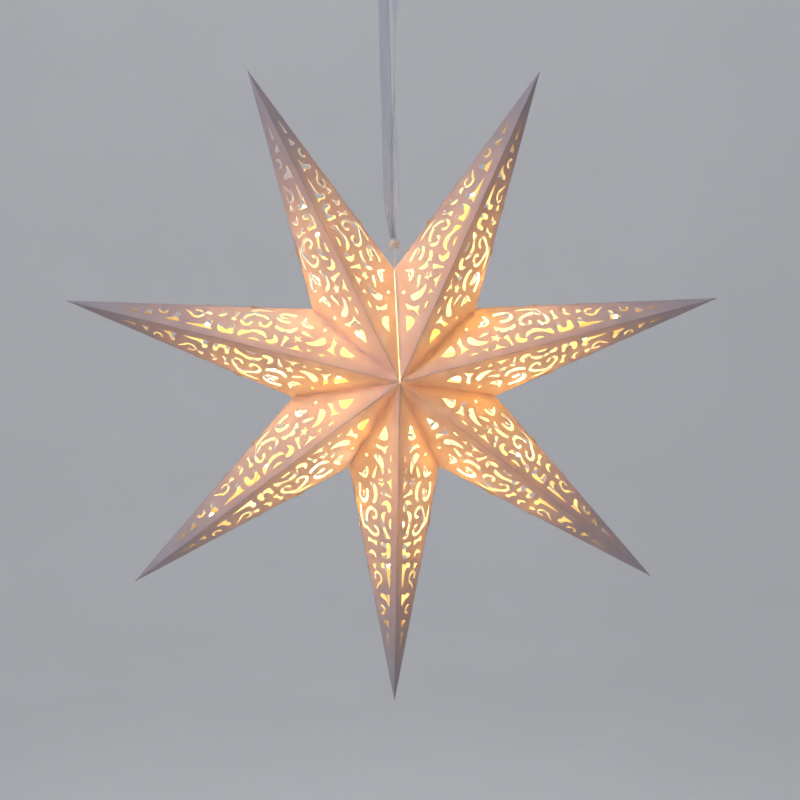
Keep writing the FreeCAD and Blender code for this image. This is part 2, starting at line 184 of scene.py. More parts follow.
# One face's filigree, in millimetres along its ridge from the hub and away from its ridge.
CUTOUTS = [
    blob((47, 19.6, 1), (51.5, 16.7), (56.6, 15.7), (60.4, 18.6), (62, 24.7), (61.4, 29.6, 1)),
    blob(
        (62.8, 13.2, 1), (68, 17.2), (73.8, 19, 1), (71.6, 22.5), (71.3, 26), (71.9, 31),
        (73.1, 37.3, 1), (70.8, 34.2), (68.3, 31.8, 1), (68.6, 27), (68.2, 22.5), (66, 17.5),
    ),
    blob((71.7, 11, 1), (75.5, 9.9), (79.3, 11, 1), (75.5, 12.2)),
    blob(
        (81.6, 35.6, 1), (78.2, 32), (77.6, 27.6), (80.4, 23.2), (85.4, 20.8), (90.5, 20.8), (95.2, 22.8, 1),
        (90.8, 24.2), (87, 27), (84.6, 31),
    ),
    blob((89, 31.4, 1), (95, 31.8), (101.8, 34.4, 1), (101.6, 37.6, 1), (96, 35.4)),
    blob((85.2, 14.6, 1), (87.3, 12.5), (88.3, 9.1, 1), (89.4, 12.5), (91.5, 14.7, 1), (88.4, 13.9)),
    blob((91.7, 9, 1), (99.8, 9.7), (107.9, 9, 1), (102.7, 11.4), (99.6, 16, 1), (96.8, 11.6)),
    five_point_star(103, 24.4, 5.2),
    blob(
        (111.4, 9.8, 1), (113.2, 9.8, 1), (113.2, 13), (113.8, 19), (114.2, 25, 1), (109.1, 22.5, 1),
        (111.1, 18), (111.6, 13),
    ),
    blob(
        (122.8, 9.4, 1), (127.2, 10.6), (127.6, 13.5), (124.5, 15), (122.5, 16.8), (122.8, 19.5),
        (124.5, 23.8, 1), (120.3, 20.5), (117.9, 15), (119.5, 11.2),
    ),
    blob(
        (128.3, 15.1, 1), (131.5, 17.6), (135.2, 19), (142, 19), (149, 14.5), (152.9, 9.3, 1),
        (154.5, 14), (153.3, 18.9, 1), (147.6, 20), (142, 24), (134, 23.5), (129.7, 18.7),
    ),
    blob((133, 9.3, 1), (143.8, 9.3, 1), (141.4, 11.7), (138.4, 12.3), (135.4, 11.7)),
    blob(
        (158.7, 10.5), (165, 9.3), (171.8, 10.2), (174.8, 16.5), (174.8, 22), (172.8, 23.2),
        (170.8, 20.6), (169.3, 16.4), (166.2, 14.5), (163.6, 16.6), (163.8, 20.4), (163.4, 23.3),
        (161, 23), (159.8, 17),
    ),
    blob(
        (177.3, 9.3, 1), (190, 9.2), (203, 9.8, 1), (196, 12.2), (189, 13.7), (185.8, 15.4),
        (184.8, 18), (185.9, 20.6), (184.8, 22.8), (182.1, 22.4), (180, 18.4), (180.5, 14.4), (179, 11.6),
    ),
    stroke(
        (199.6, 30.6, 0.7), (195.4, 31.6, 1), (192.4, 27.8, 1.2), (194.4, 23.2, 1.2), (199.4, 22.2, 1.2),
        (203.6, 25.6, 1.1), (209, 28.4, 0.4),
    ),
    blob(
        (208, 9.6, 1), (215, 9.2), (221.5, 9.8, 1), (218, 12.4), (215.9, 15), (215.6, 19),
        (214.6, 22.2), (212.4, 22.6), (210.8, 19), (210.9, 14.4),
    ),
    stroke(
        (223.5, 21.4, 0.9), (224, 17.8, 1.3), (227.2, 16.2, 1.3), (230.2, 18, 1.2), (230.8, 20.4, 0.7)
    ),
    blob((234.5, 9.8, 1), (242.5, 9.8, 1), (240.2, 12.8), (238.6, 15.8), (236.4, 16.2), (235.7, 12.8)),
    blob((247.5, 8.8, 1), (261.5, 9, 1), (254, 11.4), (248, 13.2, 1)),
    blob(
        (107.9, 40.7, 1), (107.4, 35.8), (109, 32.3), (114.5, 29.8), (120.5, 30.3), (126.2, 33, 1),
        (126.7, 37, 1), (122.8, 35), (117.5, 34.3), (113.1, 35.7), (110.4, 38),
    ),
    stroke(
        (141.2, 35.2, 1.2), (139.7, 31.8, 1.3), (136.2, 30.8, 1.4), (133.2, 33.2, 1.5), (132.6, 37.8, 1.5),
        (135, 42, 1.4), (139.6, 44.4, 1.4), (145.4, 46, 1.7),
    ),
    stroke(
        (148.6, 33, 1.2), (149.8, 28.8, 1.3), (153.3, 27.4, 1.4), (156.6, 30.4, 1.5), (157.2, 35.4, 1.5),
        (155.2, 40.6, 1.4), (151.6, 44.4, 1.8),
    ),
    blob(
        (143.6, 44.4), (147, 43.4), (149.4, 45), (152, 42.8), (155, 42.2), (154.6, 46.4),
        (149.6, 49.2), (145.2, 48),
    ),
    blob((134, 54.6, 1), (145, 53.6), (157, 48.4, 1), (146, 51.2)),
    blob(
        (161.8, 30.2, 1), (164.5, 29.3), (167.2, 30.2, 1), (165.9, 33), (165.7, 38), (167, 41.8, 1),
        (164.4, 42.5), (162, 41.8, 1), (163.2, 38), (163.2, 33),
    ),
    blob(
        (179.4, 30.3, 1), (175.4, 31.2), (173, 35), (174.4, 38.8), (178.4, 40.9, 1), (177, 37.4),
        (176.8, 34),
    ),
    blob((184.8, 30, 1), (191.4, 30.2, 1), (189.6, 33.2), (187, 35.6, 1)),
    stroke(
        (117.8, 44.8, 2), (122.8, 44.3, 1.6), (127.6, 46.6, 1.7), (128.6, 51, 1.7), (125.2, 54.6, 1.6),
        (119.6, 55.8, 1.5), (115.4, 55.8, 1.7),
    ),
    stroke((126.8, 50.8, 1), (123.6, 49, 1), (120.4, 49.4, 1)),
    stroke((96.4, 45.4, 1.7), (100.7, 45, 1.3), (104.6, 47.4, 1.4), (105.2, 51.6, 1.4), (104.8, 56, 0.7)),
    stroke((104.4, 50.6, 0.9), (101.4, 50, 0.8), (99.2, 48.4, 0.7)),
    blob((82.2, 46.6), (83.6, 44, 1), (85.2, 46.4), (83.8, 48.2)),
]


# --------------------------------------------------------------------------------------- materials


def material(name, build):
    made = bpy.data.materials.new(name)
    made.use_nodes = True
    made.node_tree.nodes.clear()
    build(Nodes(made.node_tree))
    return made


class Nodes:
    """Short calls for building a node tree."""

    def __init__(self, tree):
        self.tree = tree

    def add(self, kind, inputs=None, **props):
        node = self.tree.nodes.new("ShaderNode" + kind)
        for key, value in props.items():
            setattr(node, key, value)
        for key, value in (inputs or {}).items():
            self.put(node.inputs[key], value)
        return node

    def put(self, socket, value):
        if isinstance(value, bpy.types.NodeSocket):
            self.tree.links.new(value, socket)
        else:
            socket.default_value = value

    def math(self, operation, a, b=0.0, clamp=False):
        node = self.add("Math", {0: a, 1: b}, operation=operation, use_clamp=clamp)
        return node.outputs[0]

    def noise(self, vector, scale, detail=3.0):
        return self.add("TexNoise", {"Vector": vector, "Scale": scale, "Detail": detail}).outputs["Fac"]

    def ramp(self, value, low, high, to_low=0.0, to_high=1.0):
        node = self.add("MapRange", {0: value, 1: low, 2: high, 3: to_low, 4: to_high})
        return node.outputs[0]

    def mix(self, factor, a, b):
        node = self.add("Mix", data_type="RGBA")
        self.put(node.inputs["Factor"], factor)
        self.put(node.inputs["A"], a)
        self.put(node.inputs["B"], b)
        return node.outputs["Result"]

    def bump(self, height, strength, distance=0.0002):
        return self.add("Bump", {"Height": height, "Strength": strength, "Distance": distance}).outputs[0]

    def coordinates(self):
        return self.add("TexCoord").outputs["Object"]

    def finish(self, shader):
        out = self.add("OutputMaterial")
        self.tree.links.new(shader, out.inputs["Surface"])


# scale and detail
CARD_NOISE = {"fibre": (2600.0, 4.0), "mottle": (38.0, 3.0), "grain": (420.0, 3.0)}


def card_noise(n, *kinds):
    """The card's noises of these kinds, at a different place on each piece."""
    shift = n.math("MULTIPLY", n.add("ObjectInfo").outputs["Random"], 7.0)
    place = n.add("VectorMath", {0: n.coordinates(), 1: shift}, operation="ADD").outputs[0]
    return [n.noise(place, *CARD_NOISE[kind]) for kind in kinds]


def finish_card(n, front, behind, share):
    """Card that passes this share of the light through."""
    n.finish(n.add("MixShader", {0: share, 1: front.outputs[0], 2: behind.outputs[0]}).outputs[0])


def outer_card(n):
    """The lilac outside, which glows orange where lamps are close behind it."""
    fibre, mottle, grain = card_noise(n, "fibre", "mottle", "grain")
    lilac = n.mix(n.ramp(mottle, 0.35, 0.65), (0.63, 0.58, 0.68, 1), (0.71, 0.66, 0.75, 1))
    height = n.math("ADD", n.math("MULTIPLY", fibre, 0.6), n.math("MULTIPLY", grain, 0.4))
    front = n.add(
        "BsdfPrincipled",
        {
            "Base Color": lilac,
            "Roughness": n.ramp(grain, 0.3, 0.7, 0.5, 0.62),
            "Normal": n.bump(height, 0.35),
            "Sheen Weight": 0.15,
        },
    )
    through = n.mix(n.ramp(mottle, 0.3, 0.7), (1.0, 0.68, 0.20, 1), (1.0, 0.74, 0.27, 1))
    behind = n.add("BsdfTranslucent", {"Color": through, "Normal": n.bump(height, 0.2)})
    finish_card(n, front, behind, 0.20)


def inner_card(n):
    """The cream inside."""
    fibre, mottle, grain = card_noise(n, "fibre", "mottle", "grain")
    cream = n.mix(n.ramp(mottle, 0.35, 0.65), (0.92, 0.82, 0.53, 1), (0.95, 0.86, 0.60, 1))
    front = n.add(
        "BsdfPrincipled", {"Base Color": cream, "Roughness": 0.7, "Normal": n.bump(fibre, 0.3)}
    )
    behind = n.add("BsdfTranslucent", {"Color": n.mix(grain, (0.98, 0.78, 0.36, 1), (0.94, 0.74, 0.33, 1))})
    finish_card(n, front, behind, 0.35)


def flap_card(n):
    """The glued flap: card that passes nearly all the light, so that it doesn't darken the glow."""
    fibre, mottle, grain = card_noise(n, "fibre", "mottle", "grain")
    cream = n.mix(n.ramp(mottle, 0.35, 0.65), (0.94, 0.86, 0.62, 1), (0.97, 0.90, 0.70, 1))
    front = n.add("BsdfPrincipled", {"Base Color": cream, "Roughness": 0.7, "Normal": n.bump(fibre, 0.3)})
    behind = n.add("BsdfTranslucent", {"Color": n.mix(grain, (1.0, 0.90, 0.56, 1), (1.0, 0.86, 0.50, 1))})
    finish_card(n, front, behind, 0.93)


def cut_edge(n):
    """The pale raw edge of the punched card."""
    fibre, grain = card_noise(n, "fibre", "grain")
    colour = n.mix(grain, (0.92, 0.83, 0.70, 1), (0.98, 0.91, 0.80, 1))
    shader = n.add("BsdfPrincipled", {"Base Color": colour, "Roughness": 0.8, "Normal": n.bump(fibre, 0.4)})
    n.finish(shader.outputs[0])


def pressed_card(n):
    """Card at a fold: rougher, the card's own lilac with random patches paler than the face card as a
    painted highlight along the fold.
    """
    fibre, mottle, grain = card_noise(n, "fibre", "mottle", "grain")
    # painted highlight: the paler tone stands in for light catching the fold, spread at random by the grain
    colour = n.mix(n.ramp(grain, 0.35, 0.7), (0.62, 0.57, 0.67, 1), (0.76, 0.71, 0.80, 1))
    front = n.add(
        "BsdfPrincipled",
        {
            "Base Color": colour,
            "Roughness": n.ramp(mottle, 0.3, 0.7, 0.45, 0.6),
            "Normal": n.bump(fibre, 0.5),
        },
    )
    behind = n.add("BsdfTranslucent", {"Color": (1.0, 0.84, 0.5, 1)})
    finish_card(n, front, behind, 0.3)


def wire_metal(n):
    """Bare copper wire."""
    place = n.coordinates()
    colour = n.mix(n.noise(place, 300.0), (0.80, 0.52, 0.30, 1), (0.88, 0.64, 0.42, 1))
    roughness = n.ramp(n.noise(place, 900.0), 0.3, 0.7, 0.25, 0.4)
    shader = n.add("BsdfPrincipled", {"Base Color": colour, "Roughness": roughness, "Metallic": 0.9})
    n.finish(shader.outputs[0])


def lamp_resin(n):
    """A warm lamp's glowing resin drop."""
    place = n.coordinates()
    colour = n.mix(n.noise(place, 500.0), (1.0, 0.66, 0.30, 1), (1.0, 0.76, 0.42, 1))
    shader = n.add(
        "BsdfPrincipled",
        {
            "Base Color": (1.0, 0.93, 0.80, 1),
            "Roughness": 0.2,
            "Emission Color": colour,
            "Emission Strength": 50.0,
        },
    )
    n.finish(shader.outputs[0])


def organza(n):
    """Sheer shiny ribbon: a fine plain weave, denser along both selvedges, with small painted glints: random
    near-white specks that stand in for highlights.
    """
    split = n.add("SeparateXYZ", {0: n.add("Attribute", attribute_name="strip").outputs["Vector"]})
    across, along = split.outputs[0], split.outputs[1]
    warp = n.math("ABSOLUTE", n.math("SINE", n.math("MULTIPLY", across, 62.0)))
    weft = n.math("ABSOLUTE", n.math("SINE", n.math("MULTIPLY", along, 6200.0)))
    threads = n.math("MAXIMUM", warp, weft)
    edge = n.ramp(n.math("ABSOLUTE", across), 0.86, 0.94)
    place = n.coordinates()
    streaks = n.noise(n.add("Mapping", {0: place, 3: (1.0, 1.0, 0.12)}).outputs[0], 500.0)
    # painted glints: random specks that stand in for highlights, made lighter and more opaque
    painted_glint = n.ramp(n.noise(place, 1500.0, 2.0), 0.62, 0.72)
    cover = n.math("ADD", n.ramp(threads, 0.5, 1.0, 0.16, 0.34), n.ramp(streaks, 0.4, 0.7, 0.0, 0.16))
    cover = n.math("ADD", cover, n.math("MULTIPLY", painted_glint, 0.25))
    cover = n.math("MAXIMUM", cover, n.math("MULTIPLY", edge, 0.85), clamp=True)
    # near white at the denser selvedges and at the painted glints
    colour = n.mix(n.math("MAXIMUM", painted_glint, edge), (0.70, 0.71, 0.84, 1), (0.93, 0.94, 1.0, 1))
    shader = n.add(
        "BsdfPrincipled",
        {
            "Base Color": colour,
            "Roughness": 0.32,
            "Alpha": cover,
            "Normal": n.bump(threads, 0.4, 0.0001),
            "Sheen Weight": 0.6,
        },
    )
    n.finish(shader.outputs[0])


def bead_paint(n):
    """Smooth pale pink paint."""
    place = n.coordinates()
    colour = n.mix(n.ramp(n.noise(place, 180.0), 0.35, 0.65), (0.83, 0.72, 0.68, 1), (0.90, 0.81, 0.77, 1))
    shader = n.add(
        "BsdfPrincipled",
        {
            "Base Color": colour,
            "Roughness": n.ramp(n.noise(place, 700.0), 0.3, 0.7, 0.3, 0.45),
            "Normal": n.bump(n.noise(place, 1400.0), 0.15),
            "Coat Weight": 0.25,
        },
    )
    n.finish(shader.outputs[0])


def cotton_cord(n):
    """Twisted white cord."""
    place = n.coordinates()
    wave = {"Vector": place, "Scale": 420.0, "Distortion": 1.2}
    twist = n.add("TexWave", wave, bands_direction="DIAGONAL").outputs["Fac"]
    colour = n.mix(twist, (0.84, 0.82, 0.80, 1), (0.96, 0.94, 0.92, 1))
    shader = n.add(
        "BsdfPrincipled",
        {"Base Color": colour, "Roughness": 0.85, "Normal": n.bump(twist, 0.6), "Sheen Weight": 0.3},
    )
    n.finish(shader.outputs[0])


def moulded_plastic(colour_low, colour_high, roughness):
    """A builder for slightly uneven plastic between two close colours."""

    def build(n):
        place = n.coordinates()
        colour = n.mix(n.ramp(n.noise(place, 60.0), 0.35, 0.65), colour_low, colour_high)
        shader = n.add(
            "BsdfPrincipled",
            {
                "Base Color": colour,
                "Roughness": n.ramp(n.noise(place, 1200.0), 0.3, 0.7, roughness, roughness + 0.12),
                "Normal": n.bump(n.noise(place, 2400.0, 2.0), 0.2, 0.0001),
            },
        )
        n.finish(shader.outputs[0])

    return build


def brushed_steel(n):
    """Steel with fine brushed lines."""
    place = n.coordinates()
    lines = n.noise(n.add("Mapping", {0: place, 3: (1.0, 1.0, 40.0)}).outputs[0], 300.0)
    colour = n.mix(lines, (0.55, 0.55, 0.56, 1), (0.72, 0.72, 0.73, 1))
    roughness = n.ramp(lines, 0.3, 0.7, 0.25, 0.42)
    shader = n.add("BsdfPrincipled", {"Base Color": colour, "Roughness": roughness, "Metallic": 1.0})
    n.finish(shader.outputs[0])


def studio_paper(n):
    """The cove's plain grey paper."""
    place = n.add("NewGeometry").outputs["Position"]
    colour = n.mix(n.ramp(n.noise(place, 3.0), 0.3, 0.7), (0.80, 0.80, 0.81, 1), (0.83, 0.83, 0.84, 1))
    normal = n.bump(n.noise(place, 260.0), 0.1)
    shader = n.add("BsdfPrincipled", {"Base Color": colour, "Roughness": 0.7, "Normal": normal})
    n.finish(shader.outputs[0])


OUTER = material("lilac_card_outside", outer_card)
INNER = material("lilac_card_inside", inner_card)
EDGE = material("lilac_card_edge", cut_edge)
FLAP = material("glued_flap", flap_card)
PRESSED_CARD_HIGHLIGHT = material("pressed_card", pressed_card)
WIRE = material("light_wire", wire_metal)
LAMP = material("warm_lamp", lamp_resin)
LAMP.cycles.emission_sampling = "NONE"
ORGANZA = material("organza", organza)
BEAD = material("painted_bead", bead_paint)
CORD = material("white_cord", cotton_cord)
CASE = material("case_plastic", moulded_plastic((0.80, 0.79, 0.77, 1), (0.85, 0.84, 0.82, 1), 0.4))
SWITCH = material("switch_plastic", moulded_plastic((0.05, 0.05, 0.055, 1), (0.07, 0.07, 0.075, 1), 0.35))
STEEL = material("steel", brushed_steel)
PAPER = material("studio_paper", studio_paper)


# -------------------------------------------------------------------------------------- the camera

VIEW_AZIMUTH = math.radians(-3.5)
VIEW_ELEVATION = math.radians(6.0)
VIEW_DISTANCE = 2.2
VIEW_WIDTH = 0.732
AIM = Vector((0.0052, 0, -0.3844))

camera_data = bpy.data.cameras.new("camera")
camera_data.sensor_width = 36.0
camera_data.lens = camera_data.sensor_width * VIEW_DISTANCE / VIEW_WIDTH
camera_data.clip_start = 0.05
camera_data.clip_end = 50.0
camera = link(bpy.data.objects.new("camera", camera_data))
backward = Vector(
    (
        math.sin(VIEW_AZIMUTH) * math.cos(VIEW_ELEVATION),
        -math.cos(VIEW_AZIMUTH) * math.cos(VIEW_ELEVATION),
        math.sin(VIEW_ELEVATION),
    )
)
camera.location = AIM + backward * VIEW_DISTANCE
camera.rotation_mode = "QUATERNION"
camera.rotation_quaternion = (-backward).to_track_quat("-Z", "Y")
bpy.context.scene.camera = camera


# ------------------------------------------------------------------------------- ribbon and cords


def nurbs_route(name, points):
    """One open smooth spline with these control points."""
    data = bpy.data.curves.new(name, "CURVE")
    data.dimensions = "3D"
    data.resolution_u = 16
    spline = data.splines.new("NURBS")
    spline.points.add(len(points) - 1)
    for target, point in zip(spline.points, points):
        target.co = (*point, 1.0)
    spline.order_u = 3
    spline.use_endpoint_u = True
    return data


def cord_piece(name, points, radius, body, *replaced):
    """A round white cord that rides on a body and replaces the named nodes."""
    data = nurbs_route(name, points)
    data.bevel_depth = radius
    data.bevel_resolution = 3
    data.use_fill_caps = True
    data.materials.append(CORD)
    piece = link(bpy.data.objects.new(name, data))
    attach(piece, body)
    if replaced:
        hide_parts(*replaced)
    return piece


def between(value, stops):
    """Smooth interpolation of (place, number) stops."""
    if value <= stops[0][0]:
        return stops[0][1]
    for (a, low), (b, high) in zip(stops, stops[1:]):
        if value <= b:
            t = (value - a) / (b - a)
            return low + (high - low) * t * t * (3 - 2 * t)
    return stops[-1][1]


RIBBON_FOOT = -0.2369
RIBBON_ROUTE = [
    (-0.0020, 0, RIBBON_FOOT),
    (-0.0040, 0, -0.2240),
    (-0.0056, 0, -0.1950),
    (-0.0066, 0, -0.1400),
    (-0.0086, 0, -0.0700),
    (-0.0100, 0, -0.0120),
    (-0.0100, 0, -0.0004),
    (0.0012, 0, -0.0004),
    (0.0014, 0, -0.0120),
    (0.0006, 0, -0.0600),
    (0.0003, 0, -0.1100),
    (-0.0002, 0, -0.1700),
    (0.0004, 0, -0.2100),
    (0.0006, 0, RIBBON_FOOT),
]
# Stops of height and number: each strand's turn about its own line, in degrees from facing the front,
# and the ribbon's half width.
LEFT_TURN = [(RIBBON_FOOT, 25), (-0.205, 12), (-0.10, 8), (-0.022, 12), (-0.001, 90)]
RIGHT_TURN = [
    (RIBBON_FOOT, 155), (-0.205, 150), (-0.169, 134), (-0.120, 104), (-0.092, 92), (-0.052, 90),
    (-0.018, 118), (-0.001, 90),
]
WIDEST = 0.005
HALF_WIDTH = [(RIBBON_FOOT, 0.0024), (-0.226, 0.0031), (-0.205, 0.0044), (-0.185, WIDEST)]
RIBBON_ROW = 0.0025
RIBBON_COLUMNS = 12
RIBBON_HALF_THICK = 0.00008
GATHERED_WAVE = 0.0016
LOOSE_WAVE = 0.00025


def make_ribbon():
    """The hanging loop: one flat strip, twisted along its strands and gathered above the bead."""
    route = nurbs_route("ribbon_route", RIBBON_ROUTE)
    bare = bpy.data.objects.new("ribbon_route", route)
    line = [v.co.copy() for v in bpy.data.meshes.new_from_object(bare).vertices]
    bpy.data.objects.remove(bare)
    rows = [line[0]]
    for a, b in zip(line, line[1:]):
        parts = max(1, math.ceil((b - a).length / RIBBON_ROW))
        rows += [a.lerp(b, (k + 1) / parts) for k in range(parts)]
    columns = RIBBON_COLUMNS
    run = 0.0
    points, strip = [], []
    top = max(range(len(rows)), key=lambda i: rows[i].z)
    for i, p in enumerate(rows):
        ahead = (rows[min(i + 1, len(rows) - 1)] - rows[max(i - 1, 0)]).normalized()
        if i:
            run += (p - rows[i - 1]).length
        left = i <= top
        turn = math.radians(between(p.z, LEFT_TURN if left else RIGHT_TURN))
        flat = Vector((math.cos(turn), math.sin(turn), 0))
        flat = (flat - ahead * flat.dot(ahead)).normalized()
        out = ahead.cross(flat)
        half = between(p.z, HALF_WIDTH)
        gather = 1.0 - half / WIDEST
        for side in (1, -1):
            for c in range(columns + 1):
                t = 2 * c / columns - 1
                wave = math.sin(t * 9.0 + 1.3 * left) * gather * GATHERED_WAVE
                wave += math.sin(t * 2.2 + run * 55.0) * LOOSE_WAVE
                points.append(p + flat * (t * half) + out * (wave + side * RIBBON_HALF_THICK))
                strip.append((t, run, 0.0))
    faces = []
    ring = 2 * (columns + 1)
    order = list(range(columns + 1)) + list(range(2 * columns + 1, columns, -1))
    for i in range(len(rows) - 1):
        for a, b in zip(order, order[1:] + order[:1]):
            faces.append((i * ring + a, i * ring + b, (i + 1) * ring + b, (i + 1) * ring + a))
    faces.append(order[::-1])
    faces.append([(len(rows) - 1) * ring + a for a in order])
    piece = mesh_object("ribbon", points, faces, [ORGANZA], True, attributes={"strip": strip})
    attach(piece, "hanger")
    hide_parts("ribbon_loop")
    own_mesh(piece)


BEAD_ABOVE_STAR = 0.119
KNOT_BELOW_BEAD = 0.0041
BEAD_HEIGHT = STAR.z + BEAD_ABOVE_STAR
KNOT = BEAD_HEIGHT - KNOT_BELOW_BEAD
CORD_TOP = RIBBON_FOOT - 0.0003
CENTRE_CORD_ROUTE = [
    (0, 0, CORD_TOP),
    (0.0002, 0, KNOT),
    (0.0010, 0.0002, KNOT - 0.020),
    (0.0012, 0.0002, KNOT - 0.060),
    (0, 0, STAR.z + 0.012),
]

make_ribbon()
centre_cord = cord_piece("centre_cord_line", CENTRE_CORD_ROUTE, 0.75 * MM, "core", "centre_cord")


# ------------------------------------------------------------------------------------- card faces


def arm_axes(angle):
    """The directions along an arm at this many degrees and across it, both in the star's plane."""
    turn = math.radians(angle)
    return Vector((math.cos(turn), 0, math.sin(turn))), Vector((-math.sin(turn), 0, math.cos(turn)))


def hub_of(depth):
    return STAR + Vector((0, DEPTHS[depth] * HALF_DEPTH, 0))


def tip_of(arm):
    return STAR + arm_axes(ARMS[arm])[0] * TIP_RADIUS


def valley_of(arm, cross):
    along, across = arm_axes(ARMS[arm])
    way = along * math.cos(HALF_STEP) + across * (CROSSES[cross] * math.sin(HALF_STEP))
    return STAR + way * VALLEY_RADIUS


def face_axes(arm, depth, cross):
    """The face's own frame: along its ridge, toward its valley point, and out of the lantern."""
    hub = hub_of(depth)
    ridge = (tip_of(arm) - hub).normalized()
    away = valley_of(arm, cross) - hub
    away = (away - ridge * away.dot(ridge)).normalized()
    return hub, ridge, away, ridge.cross(away) * (-DEPTHS[depth] * CROSSES[cross])


RIDGE_LENGTH = math.hypot(TIP_RADIUS, HALF_DEPTH)


def valley_in_face():
    """The valley point in a face's frame: along its ridge and away from it. All faces share it."""
    hub, ridge, away, _ = face_axes("bottom", "front", "clockwise")
    to_valley = valley_of("bottom", "clockwise") - hub
    return to_valley.dot(ridge), to_valley.dot(away)


VALLEY_ALONG, VALLEY_AWAY = valley_in_face()
# Small tabs that pop out past the outer edge: place along the ridge, length and rise.
TABS = [(0.2345, 0.004, 0.0009), (0.1945, 0.005, 0.0013), (0.1555, 0.008, 0.0021)]
TAB_SHAPE = [(0.5, 0.0), (0.42, 0.8), (0.2, 1.0), (-0.3, 0.9), (-0.5, 0.0)]
HUB_TRIM = 0.5 * MM
TIP_TRIM = 2.0 * MM


def on_spine(along):
    """How far the outer edge is from the ridge at a place along it."""
    return VALLEY_AWAY * (RIDGE_LENGTH - along) / (RIDGE_LENGTH - VALLEY_ALONG)


def face_outline(gap=0.0):
    """A whole face, from hub to tip to valley, with its tabs. gap moves the valley edge in from the seam."""
    slant = gap * math.hypot(VALLEY_ALONG, VALLEY_AWAY) / VALLEY_AWAY
    start, stop = HUB_TRIM + slant, RIDGE_LENGTH - TIP_TRIM
    outline = [(start, 0.0), (stop, 0.0), (stop, on_spine(stop))]
    slope = VALLEY_AWAY / (RIDGE_LENGTH - VALLEY_ALONG)
    for along, length, rise in TABS:
        for shift, up in TAB_SHAPE:
            x = along + shift * length
            outline.append((x + slope * rise * up, on_spine(x) + rise * up))
    outline.append((VALLEY_ALONG + gap, on_spine(VALLEY_ALONG + gap)))
    outline.append((start, (start - slant) * VALLEY_AWAY / VALLEY_ALONG))
    return outline


def inside(point, outline):
    """Whether a closed outline goes round the point."""
    x, y = point
    hit = False
    for (x1, y1), (x2, y2) in zip(outline, outline[1:] + outline[:1]):
        if (y1 > y) != (y2 > y) and x < (x2 - x1) * (y - y1) / (y2 - y1) + x1:
            hit = not hit
    return hit


def punched_sheet(outline, holes):
    """Flat points and triangles of an outline without its holes."""
    points, edges = [], []
    for loop in [outline, *holes]:
        first = len(points)
        points += [Vector(p) for p in loop]
        edges += [(first + i, first + (i + 1) % len(loop)) for i in range(len(loop))]
    made, _, triangles, _, _, _ = delaunay_2d_cdt(points, edges, [], 0, 1e-7)
    boxes = [
        (min(p[0] for p in h), max(p[0] for p in h), min(p[1] for p in h), max(p[1] for p in h), h)
        for h in holes
    ]
    kept = []
    for corners in triangles:
        middle = sum((made[i] for i in corners), Vector((0, 0))) / 3
        if not inside(middle, outline):
            continue
        if any(
            x0 < middle.x < x1 and y0 < middle.y < y1 and inside(middle, hole)
            for x0, x1, y0, y1, hole in boxes
        ):
            continue
        a, b, c = (made[i] for i in corners)
        twice = (b.x - a.x) * (c.y - a.y) - (b.y - a.y) * (c.x - a.x)
        kept.append(tuple(corners) if twice > 0 else tuple(corners)[::-1])
    used = sorted({i for t in kept for i in t})
    number = {old: new for new, old in enumerate(used)}
    return [tuple(made[i]) for i in used], [tuple(number[i] for i in t) for t in kept]


DRAWN_RIDGE = 0.3118  # the ridge length that the cut-outs were drawn for
STRETCH = RIDGE_LENGTH / DRAWN_RIDGE
HOLES = [[(x * MM * STRETCH, y * MM) for x, y in cutout] for cutout in CUTOUTS]
SEAM_GAP = 0.55 * MM
SHEET = punched_sheet(face_outline(), HOLES)
SEAM_SHEET = punched_sheet(face_outline(SEAM_GAP), HOLES)
FLAP_WIDTH = 4.6 * MM


def flap_outline():
    """The glued flap inside the valley edge, with its ends cut at a slant."""
    way = Vector((VALLEY_ALONG, VALLEY_AWAY)).normalized()
    inward = Vector((way.y, -way.x))
    long = math.hypot(VALLEY_ALONG, VALLEY_AWAY)
    corners = []
    for share, depth in ((0.15, 1.0), (0.93, 1.0), (0.97, 0.03), (0.10, 0.03)):
        corners.append(tuple(way * (long * share) + inward * (FLAP_WIDTH * depth)))
    return corners


def solid_sheet(points2d, triangles, outside, thick):
    """Skins at outside and outside - thick above the face's middle plane, and the walls between them."""
    count = len(points2d)
    points = [(x, y, outside) for x, y in points2d] + [(x, y, outside - thick) for x, y in points2d]
    faces = list(triangles)
    slots = [0] * len(triangles)
    faces += [(a + count, c + count, b + count) for a, b, c in triangles]
    slots += [1] * len(triangles)
    edges = {(t[i], t[(i + 1) % 3]) for t in triangles for i in range(3)}
    walls = [(b, a, a + count, b + count) for a, b in sorted(edges) if (b, a) not in edges]
    faces += walls
    slots += [2] * len(walls)
    return points, faces, slots


def face_mesh(mirror, glued):
    """The punched face, with a flap if glued, in the frame (along, away, out). mirror turns it over."""
    points, faces, slots = solid_sheet(*(SHEET if glued else SEAM_SHEET), CARD / 2, CARD)
    if glued:
        under = -CARD / 2 - 0.1 * MM
        more, more_faces, _ = solid_sheet(flap_outline(), [(0, 1, 2), (0, 2, 3)], under, CARD)
        first = len(points)
        points += more
        faces += [tuple(i + first for i in f) for f in more_faces]
        slots += [3] * len(more_faces)
    if mirror:
        points = [(x, y, -z) for x, y, z in points]
        faces = [tuple(reversed(f)) for f in faces]
    made = new_mesh("card_face", points, faces, (OUTER, INNER, EDGE, FLAP), slots)
    made.update()
    return made


FACE_MESHES = {
    (mirror, glued): face_mesh(mirror, glued) for mirror in (False, True) for glued in (False, True)
}
SEAM_FACES = {("upper_right", "counterclockwise"), ("upper_left", "clockwise")}


